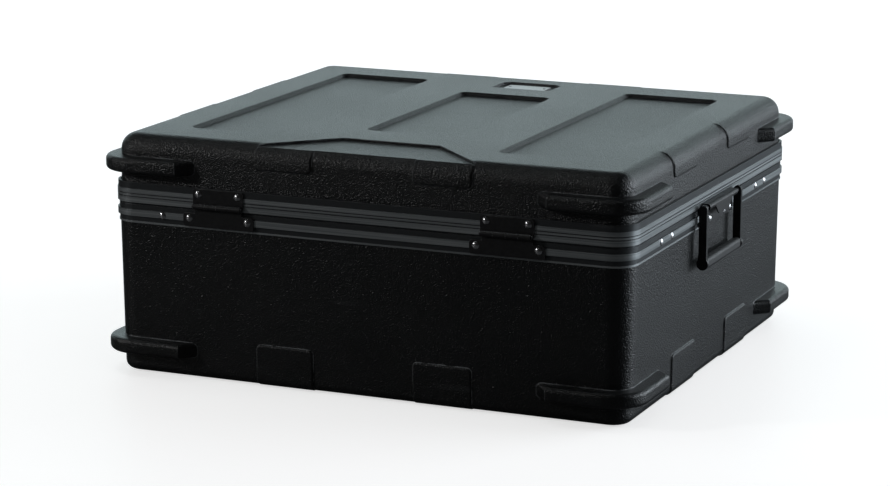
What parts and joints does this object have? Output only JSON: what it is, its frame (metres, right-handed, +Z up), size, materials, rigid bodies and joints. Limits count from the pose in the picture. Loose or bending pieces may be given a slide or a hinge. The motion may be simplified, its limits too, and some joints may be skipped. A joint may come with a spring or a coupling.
{
  "type": "mixer rack case",
  "caption": "Moulded mixer case with a hinged domed lid, metal edge rings, bail handles, key latches, corner bumpers, roof recesses and a foam lining.",
  "frame": {"origin": "centre of the bounding box in plan, on the floor under the base", "axes": "+X along the hinge side, -Y towards the latches and the front handle, +Y towards the hinges, +Z up"},
  "size_m": [0.6364, 0.5662, 0.2684],
  "materials": {
    "moulded_shell": "pebble grained, satin",
    "ring_aluminium": "black anodised, drawn lengthwise",
    "lining_foam": "open cell charcoal foam",
    "rivet_steel": "black, worn bright on the crowns",
    "black_steel": "black powder coat",
    "pin_steel": "dark zinc plated",
    "bail_steel": "black powder coat",
    "grip_plastic": "soft moulded grip",
    "key_plug": "satin nickel plated",
    "slide_plastic": "moulded thumb slide",
    "plate_plastic": "bare satin plate"
  },
  "bodies": {
    "base": {"base_shell": "moulded_shell", "lower_ring": "ring_aluminium", "floor_foam": "lining_foam", "front_foam": "lining_foam", "back_foam": "lining_foam", "left_foam": "lining_foam", "right_foam": "lining_foam", "base_rivets": "rivet_steel", "hinge_a_lower_leaf": "black_steel", "hinge_b_lower_leaf": "black_steel", "hinge_a_pin": "pin_steel", "hinge_b_pin": "pin_steel", "left_handle_plate": "black_steel", "right_handle_plate": "black_steel", "front_handle_plate": "black_steel", "latch_a_case": "black_steel", "latch_b_case": "black_steel"},
    "lid": {"lid_shell": "moulded_shell", "upper_ring": "ring_aluminium", "lid_foam": "lining_foam", "nameplate": "plate_plastic", "nameplate_pins": "pin_steel", "lid_rivets": "rivet_steel", "hinge_a_upper_leaf": "black_steel", "hinge_b_upper_leaf": "black_steel", "latch_a_plate": "black_steel", "latch_b_plate": "black_steel", "latch_a_pin": "pin_steel", "latch_b_pin": "pin_steel"},
    "left_bail": {"left_handle_bail": "bail_steel", "left_handle_grip": "grip_plastic"},
    "right_bail": {"right_handle_bail": "bail_steel", "right_handle_grip": "grip_plastic"},
    "front_bail": {"front_handle_bail": "bail_steel", "front_handle_grip": "grip_plastic"},
    "latch_a_hasp_body": {"latch_a_hasp": "black_steel"},
    "latch_a_plug_body": {"latch_a_plug": "key_plug"},
    "latch_a_slide_body": {"latch_a_slide": "slide_plastic"},
    "latch_b_hasp_body": {"latch_b_hasp": "black_steel"},
    "latch_b_plug_body": {"latch_b_plug": "key_plug"},
    "latch_b_slide_body": {"latch_b_slide": "slide_plastic"}
  },
  "joints": [
    {"name": "lid_hinge", "type": "hinge", "parent": "base", "child": "lid", "pos_m": [0, 0.2743, 0.197], "axis": [-1, 0, 0], "range_deg": [0, 105]},
    {"name": "left_bail_swing", "type": "hinge", "parent": "base", "child": "left_bail", "pos_m": [-0.3116, 0, 0.195], "axis": [0, 1, 0], "range_deg": [0, 95]},
    {"name": "right_bail_swing", "type": "hinge", "parent": "base", "child": "right_bail", "pos_m": [0.3116, 0, 0.195], "axis": [0, -1, 0], "range_deg": [0, 95]},
    {"name": "front_bail_swing", "type": "hinge", "parent": "base", "child": "front_bail", "pos_m": [0, -0.2771, 0.195], "axis": [-1, 0, 0], "range_deg": [0, 95]},
    {"name": "latch_a_hasp_swing", "type": "hinge", "parent": "lid", "child": "latch_a_hasp_body", "pos_m": [0.1688, -0.2753, 0.208], "axis": [-1, 0, 0], "range_deg": [0, 120]},
    {"name": "latch_a_key_turn", "type": "hinge", "parent": "base", "child": "latch_a_plug_body", "pos_m": [0.1524, -0.2735, 0.1821], "axis": [0, -1, 0], "range_deg": [0, 90]},
    {"name": "latch_a_bolt_slide", "type": "slide", "parent": "base", "child": "latch_a_slide_body", "axis": [-1, 0, 0], "range_m": [0, 0.004]},
    {"name": "latch_b_hasp_swing", "type": "hinge", "parent": "lid", "child": "latch_b_hasp_body", "pos_m": [-0.1688, -0.2753, 0.208], "axis": [-1, 0, 0], "range_deg": [0, 120]},
    {"name": "latch_b_key_turn", "type": "hinge", "parent": "base", "child": "latch_b_plug_body", "pos_m": [-0.1852, -0.2735, 0.1821], "axis": [0, -1, 0], "range_deg": [0, 90]},
    {"name": "latch_b_bolt_slide", "type": "slide", "parent": "base", "child": "latch_b_slide_body", "axis": [-1, 0, 0], "range_m": [0, 0.004]}
  ]
}
